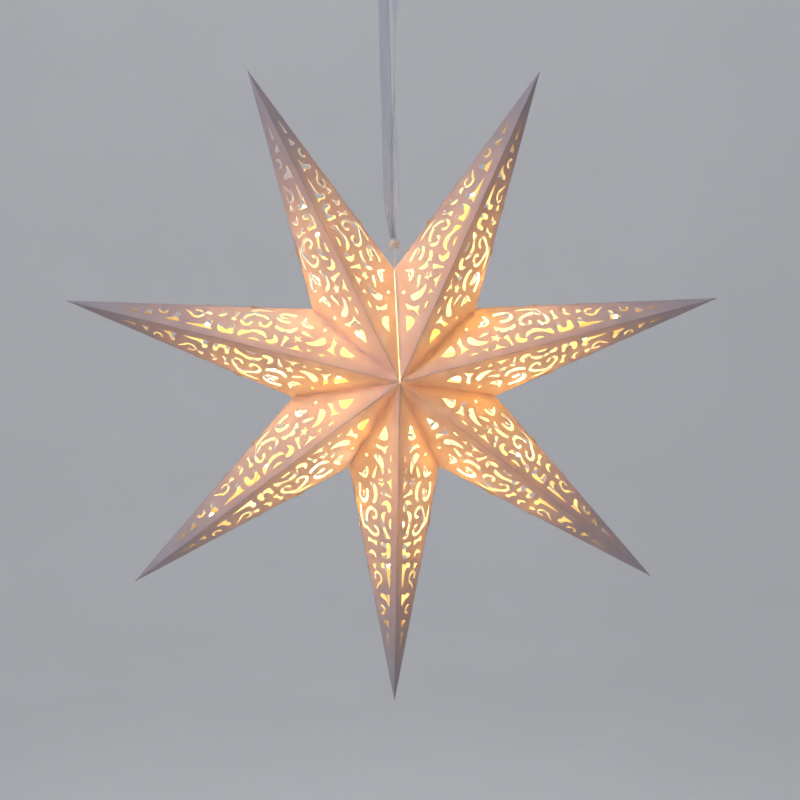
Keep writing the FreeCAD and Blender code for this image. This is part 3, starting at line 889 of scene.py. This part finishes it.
def make_face(arm, depth, cross):
    """One card face, on its own body. The two beside the open seam have no flap."""
    hub, ridge, away, out = face_axes(arm, depth, cross)
    normal = ridge.cross(away)
    place = Matrix((ridge, away, normal)).transposed().to_4x4()
    place.translation = hub
    name = f"card_{arm}_{depth}_{cross}"
    mesh = FACE_MESHES[normal.dot(out) < 0, (arm, cross) not in SEAM_FACES]
    piece = link(bpy.data.objects.new(name, mesh))
    piece.matrix_world = place
    body = f"face_{arm}_{depth}_{cross}"
    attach(piece, body)
    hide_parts(body)


def make_seam(depth):
    """The open seam's returned edge: a narrow strip of card turned back under its face beside the gap."""
    hub, valley = hub_of(depth), valley_of("upper_right", "counterclockwise")
    _, ridge, _, out = face_axes("upper_right", depth, "counterclockwise")
    way = (valley - hub).normalized()
    aside = way.cross(out)
    if aside.dot(ridge) < 0:
        aside = -aside
    hub_end, valley_end, width = 24, 4, 2.2  # millimetres
    start, stop = hub + way * hub_end * MM, valley - way * valley_end * MM
    turned_in = (aside - out * 0.10).normalized() * width * MM
    corners = []
    for end in (start, stop):
        edge = end + aside * SEAM_GAP - out * 0.2 * MM
        corners += [edge, edge + aside * CARD, edge + turned_in + aside * CARD, edge + turned_in]
    faces = [(0, 1, 2, 3), (7, 6, 5, 4)] + [(i, i + 4, (i + 1) % 4 + 4, (i + 1) % 4) for i in range(4)]
    piece = mesh_object(f"seam_strip_{depth}", corners, faces, [EDGE])
    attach(piece, f"face_upper_right_{depth}_counterclockwise")


def fold_line(name, start, end, out, side, width, rise, body):
    """A pressed fold: a thin rounded rib over the line where two faces meet, fading at its ends."""
    long = (end - start).length
    way = (end - start) / long
    rows, columns = 24, 6
    points = []
    for i in range(rows + 1):
        t = i / rows
        fade = min(1.0, 8 * t + 0.3, (1 - t) * 8 + 0.3)
        waver = 1.0 + 0.06 * math.sin(i * 2.7) + 0.04 * math.sin(i * 1.1)
        middle = start + way * (long * t)
        for c in range(columns):
            turn = 2 * math.pi * c / columns
            points.append(
                middle
                + side * (math.cos(turn) * width * fade * waver)
                + out * (math.sin(turn) * rise * fade)
            )
    piece = mesh_object(name, points, joined_rings(0, rows + 1, columns), [PRESSED_CARD_HIGHLIGHT], True)
    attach(piece, body)
    return piece


# In millimetres: how far a fold stops short of the tip, and each kind's half width and height.
FOLD_SHORT = 3.0
RIDGE_FOLD = (0.30, 0.22)
OUTER_FOLD = (0.36, 0.30)


def make_folds(arm):
    """An arm's front and back ridges and its two outer edges."""
    _, across = arm_axes(ARMS[arm])
    for depth, sign in DEPTHS.items():
        hub, tip = hub_of(depth), tip_of(arm)
        way = (tip - hub).normalized()
        out = (Vector((0, sign, 0)) - way * way.y * sign).normalized()
        ridge = fold_line(
            f"ridge_{arm}_{depth}", hub + way * 0.5 * MM, tip - way * FOLD_SHORT * MM, out, across,
            RIDGE_FOLD[0] * MM, RIDGE_FOLD[1] * MM, f"face_{arm}_{depth}_clockwise",
        )
        if depth == "front":
            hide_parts(f"creases_{arm}")
    for cross, sign in CROSSES.items():
        valley, tip = valley_of(arm, cross), tip_of(arm)
        way = (tip - valley).normalized()
        out = (across * sign - way * way.dot(across * sign)).normalized()
        fold_line(
            f"outer_edge_{arm}_{cross}", valley + way * 0.6 * MM, tip - way * FOLD_SHORT * MM, out,
            Vector((0, 1, 0)), OUTER_FOLD[0] * MM, OUTER_FOLD[1] * MM, f"face_{arm}_front_{cross}",
        )


# Millimetres back from the tip, half across and half deep.
TIP_STATIONS = [
    (14.0, 0.10, 0.16), (9.0, 0.60, 0.80), (5.0, 0.85, 0.92), (3.0, 0.80, 0.78), (0.8, 0.62, 0.46),
    (0.0, 0.35, 0.25),
]


def make_tip(arm):
    """The pressed point: four layers of card squeezed into one sharp spike."""
    along, across = arm_axes(ARMS[arm])
    deep = Vector((0, 1, 0))
    points = []
    ring = 8
    for back, half_across, half_deep in TIP_STATIONS:
        middle = tip_of(arm) - along * (back * MM)
        for c in range(ring):
            turn = 2 * math.pi * c / ring
            sharp = 1.0 if c % 2 == 0 else 0.82
            points.append(
                middle
                + across * (math.cos(turn) * half_across * sharp * MM)
                + deep * (math.sin(turn) * half_deep * sharp * MM)
            )
    faces = joined_rings(0, len(TIP_STATIONS), ring, flip=True)
    piece = mesh_object(f"pressed_tip_{arm}", points, faces, [PRESSED_CARD_HIGHLIGHT])
    body = "core" if arm == "bottom" else f"arm_{arm}"
    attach(piece, body)
    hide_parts(f"tip_{arm}")


# ------------------------------------------------------------------------------------ fairy lights


ASKEW = Vector((0.31, 0.77, 0.55))  # lies along no wire


def tube(line, radius, sides, points, faces, slots, slot_number):
    """Adds a round tube along a line to the lists."""
    first = len(points)
    for i, p in enumerate(line):
        ahead = (line[min(i + 1, len(line) - 1)] - line[max(i - 1, 0)]).normalized()
        side = ahead.cross(ASKEW).normalized()
        up = ahead.cross(side)
        for c in range(sides):
            turn = 2 * math.pi * c / sides
            points.append(p + side * (math.cos(turn) * radius) + up * (math.sin(turn) * radius))
    more = joined_rings(first, len(line), sides)
    faces += more
    slots += [slot_number] * len(more)


def drop(centre, way, radius, points, faces, slots, slot_number):
    """Adds an egg-shaped resin drop to the lists."""
    side = way.cross(ASKEW).normalized()
    up = way.cross(side)
    first, rings, sides = len(points), 7, 10
    for r in range(1, rings):
        polar = math.pi * r / rings
        reach = radius * math.sin(polar) * (1.0 - 0.12 * math.cos(polar))
        middle = centre + way * (math.cos(polar) * radius * 1.45)
        for c in range(sides):
            turn = 2 * math.pi * c / sides
            points.append(middle + side * (math.cos(turn) * reach) + up * (math.sin(turn) * reach))
    more = joined_rings(first, rings - 1, sides, flip=True)
    faces += more
    slots += [slot_number] * len(more)


# Where an arm's lamps hang, in millimetres along it, to the side and in depth, and each one's share of
# BULB_WATTS. A lamp with no share has no point light.
LAMPS = {
    "bottom": [
        (46, 14, -30, 0.8), (78, 28, -17, 1.6), (118, -28, -5, 1.2),
        (140, 8, 6, 0.3), (176, -6, -6, 0.12), (210, 3, 4, 0),
    ],
    "lower_right": [
        (46, -12, 26, 0.8), (70, 29, -14, 1.6), (104, -24, -4, 0.9),
        (138, 12, 6, 0.35), (172, -7, -6, 0.12), (206, 3, 4, 0),
    ],
    "right": [
        (50, -14, 28, 0.8), (86, 28, -14, 1.6), (110, -26, 4, 0.9),
        (142, 12, 8, 0.3), (176, -7, -8, 0.12), (210, 4, 4, 0),
    ],
    "upper_right": [
        (50, 12, 26, 0.8), (80, 26, 8, 0.7), (112, -32, -1, 1.4),
        (144, -9, -8, 0.3), (178, 6, 8, 0.12), (212, -3, -4, 0),
    ],
    "upper_left": [
        (48, 14, -20, 0.8), (76, -24, 16, 0.7), (108, 24, -6, 0.8),
        (146, 8, -20, 0.5), (172, 8, -6, 0.12), (208, -4, 4, 0),
    ],
    "left": [
        (50, 12, -22, 0.8), (70, -32, -3, 1.4), (108, 22, 8, 0.8),
        (142, 8, -10, 0.3), (176, -6, 8, 0.12), (210, 4, -4, 0),
    ],
    "lower_left": [
        (51, 19, -37, 1.6), (82, -20, 14, 0.7), (112, 20, 6, 0.8),
        (144, -9, -8, 0.3), (178, 6, 8, 0.12), (212, -3, 4, 0),
    ],
}
LAMP_RADIUS = 1.5 * MM
BULB_WATTS = 0.158
BULB_COLOUR = (1.0, 0.79, 0.48)
BULB_RADIUS = 0.0026
WIRE_START = 19  # millimetres along the arm
COVER_CLEAR = 39  # the wire keeps clear of the sliding battery cover up to here
WIRE_DEEP = 3  # behind the middle of the star


def make_light_string(arm):
    """An arm's twisted pair of wires and its lamps, from the battery case toward the tip."""
    along, across = arm_axes(ARMS[arm])
    deep = Vector((0, 1, 0))
    places = [STAR + along * (a * MM) + across * (s * MM) + deep * (d * MM) for a, s, d, _ in LAMPS[arm]]
    aside = LAMPS[arm][0][1] * 0.6
    clear_of_cover = STAR + along * COVER_CLEAR * MM + across * (aside * MM) + deep * WIRE_DEEP * MM
    route = [STAR + along * WIRE_START * MM + deep * WIRE_DEEP * MM, clear_of_cover, *places]
    line = [Vector(p) for p in curve_points([tuple(p) for p in route], False, 12)]
    points, faces, slots = [], [], []
    apart, radius = 0.22, 0.16  # a wire's distance from the pair's middle, and its radius
    for twist in (0.0, math.pi):
        strand = []
        for i, p in enumerate(line):
            turn = i * 0.9 + twist
            strand.append(p + across * (math.cos(turn) * apart * MM) + deep * (math.sin(turn) * apart * MM))
        tube(strand, radius * MM, 5, points, faces, slots, 0)
    for place in places:
        nearest = min(range(len(line)), key=lambda i: (line[i] - place).length)
        way = (line[nearest] - line[nearest - 1]).normalized()
        drop(place, way, LAMP_RADIUS, points, faces, slots, 1)
    piece = mesh_object(f"fairy_lights_{arm}", points, faces, [WIRE, LAMP], True, slots)
    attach(piece, "core" if arm == "bottom" else f"arm_{arm}")
    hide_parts(f"light_string_{arm}")
    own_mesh(piece)
    for number, (place, (_, _, _, share)) in enumerate(zip(places, LAMPS[arm])):
        if not share:
            continue
        lamp = bpy.data.lights.new(f"bulb_{arm}_{number}", "POINT")
        lamp.energy = BULB_WATTS * share
        lamp.color = BULB_COLOUR
        lamp.shadow_soft_size = BULB_RADIUS
        bulb = link(bpy.data.objects.new(lamp.name, lamp))
        bulb.parent = piece
        bulb.location = place


# --------------------------------------------------------------------------------- bead and ties


def lathe(name, profile, centre, sides, materials):
    """A closed section of (radius, height) points, turned about the upright line through centre."""
    points, faces = [], []
    for c in range(sides):
        turn = 2 * math.pi * c / sides
        points += [centre + Vector((math.cos(turn) * r, math.sin(turn) * r, h)) for r, h in profile]
    count = len(profile)
    for c in range(sides):
        for i in range(count):
            a, b = c * count + i, c * count + (i + 1) % count
            across_a, across_b = ((c + 1) % sides) * count + i, ((c + 1) % sides) * count + (i + 1) % count
            faces.append((a, across_a, across_b, b))
    return mesh_object(name, points, faces, materials, True)


def make_bead():
    """A slightly flattened round bead with a straight bore."""
    outer, high, bore = 4.7 * MM, 3.6 * MM, 1.6 * MM
    rim = 0.25 * MM
    profile = []
    for i in range(17):
        turn = math.pi * (i / 16 - 0.5)
        swell = 0.0 if i in (0, 16) else math.cos(turn) ** 0.72
        reach = bore + rim + (outer - bore - rim) * swell
        profile.append((reach, high * math.sin(turn) * 0.96))
    profile += [(bore, high * 0.85), (bore, 0.0), (bore, -high * 0.85)]
    piece = lathe("hanging_bead", profile, Vector((0, 0, BEAD_HEIGHT)), 40, [BEAD])
    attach(piece, "bead")
    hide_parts("bead")


def make_tie(name, side, arm, cross, points):
    """A tie from under the bead to the face beside the seam, with its knot. points fall from KNOT."""
    body = f"face_{arm}_front_{cross}"
    route = [(side * x, y, KNOT - fall) for x, y, fall in points]
    cord_piece(name, route, 0.85 * MM, body, name.replace("_line", ""))
    end = Vector(route[-1])
    knot = []
    steps, steps_a_turn = 22, 9
    for i in range(steps):
        turn = i * 2 * math.pi / steps_a_turn
        reach = (0.9 - 0.12 * math.cos(i * 0.6)) * MM
        deep = (i / (steps - 1) - 0.5) * 1.4 * MM
        knot.append(tuple(end + Vector((math.cos(turn) * reach, deep, math.sin(turn) * reach))))
    cord_piece(f"{name}_knot", knot, 0.42 * MM, body)


make_bead()
make_tie(
    "tie_cord_left_line", -1, "upper_left", "clockwise",
    [(0.0016, -0.0005, 0), (0.0056, -0.0012, 0.0012), (0.0110, -0.0014, 0.0034), (0.0158, -0.0004, 0.0052)],
)
make_tie(
    "tie_cord_right_line", 1, "upper_right", "counterclockwise",
    [(0.0016, -0.0005, 0), (0.0056, -0.0012, 0.0008), (0.0108, -0.0014, 0.0020), (0.0160, -0.0004, 0.0030)],
)
for depth_name in DEPTHS:
    make_seam(depth_name)

for arm_name in ARMS:
    for depth_name in DEPTHS:
        for cross_name in CROSSES:
            make_face(arm_name, depth_name, cross_name)
    make_folds(arm_name)
    make_tip(arm_name)
    make_light_string(arm_name)


# --------------------------------------------------------------------------- the light pack's parts

for node, finish in (
    ("battery_case", CASE),
    ("battery_cover", CASE),
    ("coin_cells", STEEL),
    ("battery_contact", STEEL),
    ("switch_slider", SWITCH),
):
    part = NODES[node]
    part.data.materials.clear()
    part.data.materials.append(finish)
    if finish is not STEEL:
        rounded = part.modifiers.new("rounded_edges", "BEVEL")
        rounded.width = 0.25 * MM
        rounded.segments = 2
        rounded.limit_method = "ANGLE"


# ------------------------------------------------------------------------------------- the studio

FLOOR = -1.3
FLOOR_HOLE = 0.02  # radius of the small opening in the middle of the floor
WALL = 4.0
WALL_TOP = 4.0
CURVE = 1.4


def make_studio():
    """A round pale paper cove: a floor that curves up into a wall on every side."""
    profile = [(FLOOR_HOLE, FLOOR), (WALL - CURVE, FLOOR)]
    for i in range(1, 13):
        turn = math.pi / 2 * i / 12
        profile.append((WALL - CURVE + CURVE * math.sin(turn), FLOOR + CURVE * (1 - math.cos(turn))))
    profile.append((WALL, WALL_TOP))
    sides = 64
    points, faces = [], []
    for i in range(sides):
        turn = 2 * math.pi * i / sides
        points += [(r * math.cos(turn), r * math.sin(turn), z) for r, z in profile]
    count = len(profile)
    for i in range(sides):
        for j in range(count - 1):
            a, b = i * count + j, (i + 1) % sides * count + j
            faces.append((a, b, b + 1, a + 1))
    sweep = mesh_object("studio_sweep", points, faces, [PAPER], True)


def area_light(name, place, target, size, watts, colour):
    """A round soft light, aimed at target and hidden from the camera."""
    data = bpy.data.lights.new(name, "AREA")
    data.shape = "DISK"
    data.size = size
    data.energy = watts
    data.color = colour
    obj = link(bpy.data.objects.new(name, data))
    obj.location = place
    obj.rotation_mode = "QUATERNION"
    obj.rotation_quaternion = (Vector(target) - Vector(place)).to_track_quat("-Z", "Y")
    obj.visible_camera = False


make_studio()
area_light("soft_key", (-1.3, -1.25, 1.25), STAR, 0.9, 20.0, (0.84, 0.91, 1.0))
area_light("soft_fill", (1.7, -1.9, 0.2), STAR, 1.4, 1.0, (0.85, 0.92, 1.0))
area_light("back_soft", (0.6, 1.2, 1.2), (0, 0, -0.5), 1.0, 4.0, (0.95, 0.96, 1.0))
area_light("wall_wash", (0, 1.0, 1.2), (0, 4.0, -0.3), 1.6, 26.0, (0.97, 0.98, 1.0))
area_light("front_wash", (0, -2.6, 1.6), (0, -4.0, 0.2), 1.6, 5.0, (0.97, 0.98, 1.0))

world = bpy.data.worlds.new("studio_air")
world.use_nodes = True
background = world.node_tree.nodes["Background"]
background.inputs["Color"].default_value = (0.85, 0.88, 1.0, 1)
background.inputs["Strength"].default_value = 0.07
bpy.context.scene.world = world

bpy.context.scene.view_settings.view_transform = "Standard"
cycles = bpy.context.scene.cycles
cycles.use_denoising = True
cycles.max_bounces = 8
cycles.sample_clamp_indirect = 10.0  # a low clamp takes away the light that passes through the card
